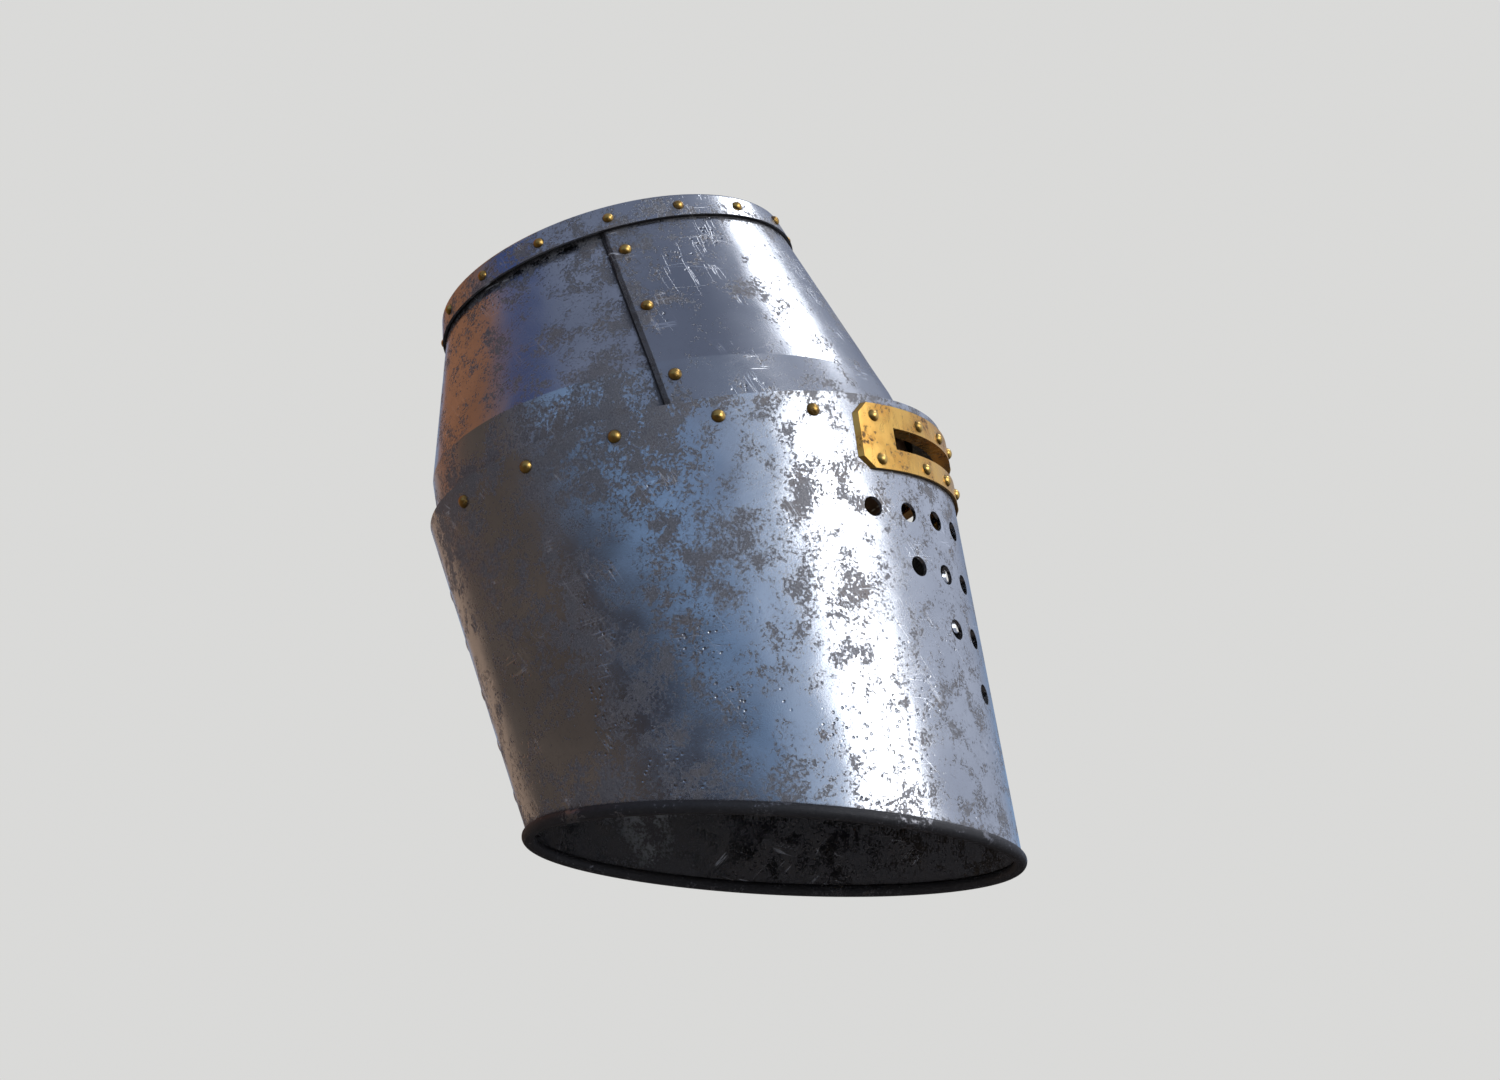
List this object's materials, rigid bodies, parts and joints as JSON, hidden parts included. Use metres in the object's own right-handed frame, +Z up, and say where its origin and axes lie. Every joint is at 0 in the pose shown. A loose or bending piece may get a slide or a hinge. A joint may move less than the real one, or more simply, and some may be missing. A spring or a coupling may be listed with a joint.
{
  "type": "great helm",
  "caption": "Flat-topped riveted steel knight helmet with brass sight plate, breathing holes, padded liner and chin straps.",
  "frame": {"origin": "on the resting plane of the rim, under the middle of the whole bounding box", "axes": "+Z up when the helm stands on its rim, the face looks along -Y, the wearer's right side is -X"},
  "size_m": [0.229, 0.3302, 0.3585],
  "materials": {
    "steel": "worn, mottled with oxide patches and scratches",
    "rim_iron": "dark forge scale with worn specks",
    "sight_brass": "golden, speckled with tarnish",
    "rivet_brass": "aged brass with dark grime around each head",
    "fitting_brass": "rubbed",
    "fitting_iron": "blackened",
    "leather": "oiled, creased",
    "liner_linen": "coarse undyed linen, quilted",
    "lace_cord": "twisted linen cord"
  },
  "bodies": {
    "shell": {"crown_plate": "steel", "crown_rivets": "rivet_brass", "skull_front_plate": "steel", "skull_rear_plate": "steel", "skull_seam_rivets_right": "rivet_brass", "skull_seam_rivets_left": "rivet_brass", "lower_wall_plate": "steel", "lap_rivets": "rivet_brass", "rear_seam_strap": "steel", "rear_seam_rivets": "steel", "rim_binding": "rim_iron", "rim_wire": "rim_iron", "sight_plate": "sight_brass", "sight_rivets_upper": "rivet_brass", "sight_rivets_lower": "rivet_brass", "liner_band": "leather", "liner_roves": "rivet_brass", "liner_pad_front": "liner_linen", "liner_pad_front_right": "liner_linen", "liner_pad_right": "liner_linen", "liner_pad_rear_right": "liner_linen", "liner_pad_rear": "liner_linen", "liner_pad_rear_left": "liner_linen", "liner_pad_left": "liner_linen", "liner_pad_front_left": "liner_linen", "liner_lace": "lace_cord", "strap_hanger_right": "fitting_iron", "strap_hanger_left": "fitting_iron"},
    "strap_right": {"chin_strap_right": "leather", "strap_keeper": "leather"},
    "strap_left": {"chin_strap_left": "leather"},
    "buckle": {"buckle_frame": "fitting_brass"},
    "tongue": {"buckle_tongue": "fitting_iron"}
  },
  "joints": [
    {"name": "right_strap_swing", "type": "hinge", "parent": "shell", "child": "strap_right", "pos_m": [-0.0975, -0.00436, 0.17082], "axis": [0.1469, -0.9892, 0], "range_deg": [0, 60]},
    {"name": "left_strap_swing", "type": "hinge", "parent": "shell", "child": "strap_left", "pos_m": [0.0975, -0.00436, 0.17082], "axis": [0.1469, 0.9892, 0], "range_deg": [0, 60]},
    {"name": "buckle_swing", "type": "hinge", "parent": "strap_right", "child": "buckle", "pos_m": [-0.0975, -0.00436, 0.11082], "axis": [0.1469, -0.9892, 0], "range_deg": [0, 50]},
    {"name": "tongue_swing", "type": "hinge", "parent": "buckle", "child": "tongue", "pos_m": [-0.0975, -0.00436, 0.11082], "axis": [0.1469, -0.9892, 0], "range_deg": [0, 85]}
  ]
}
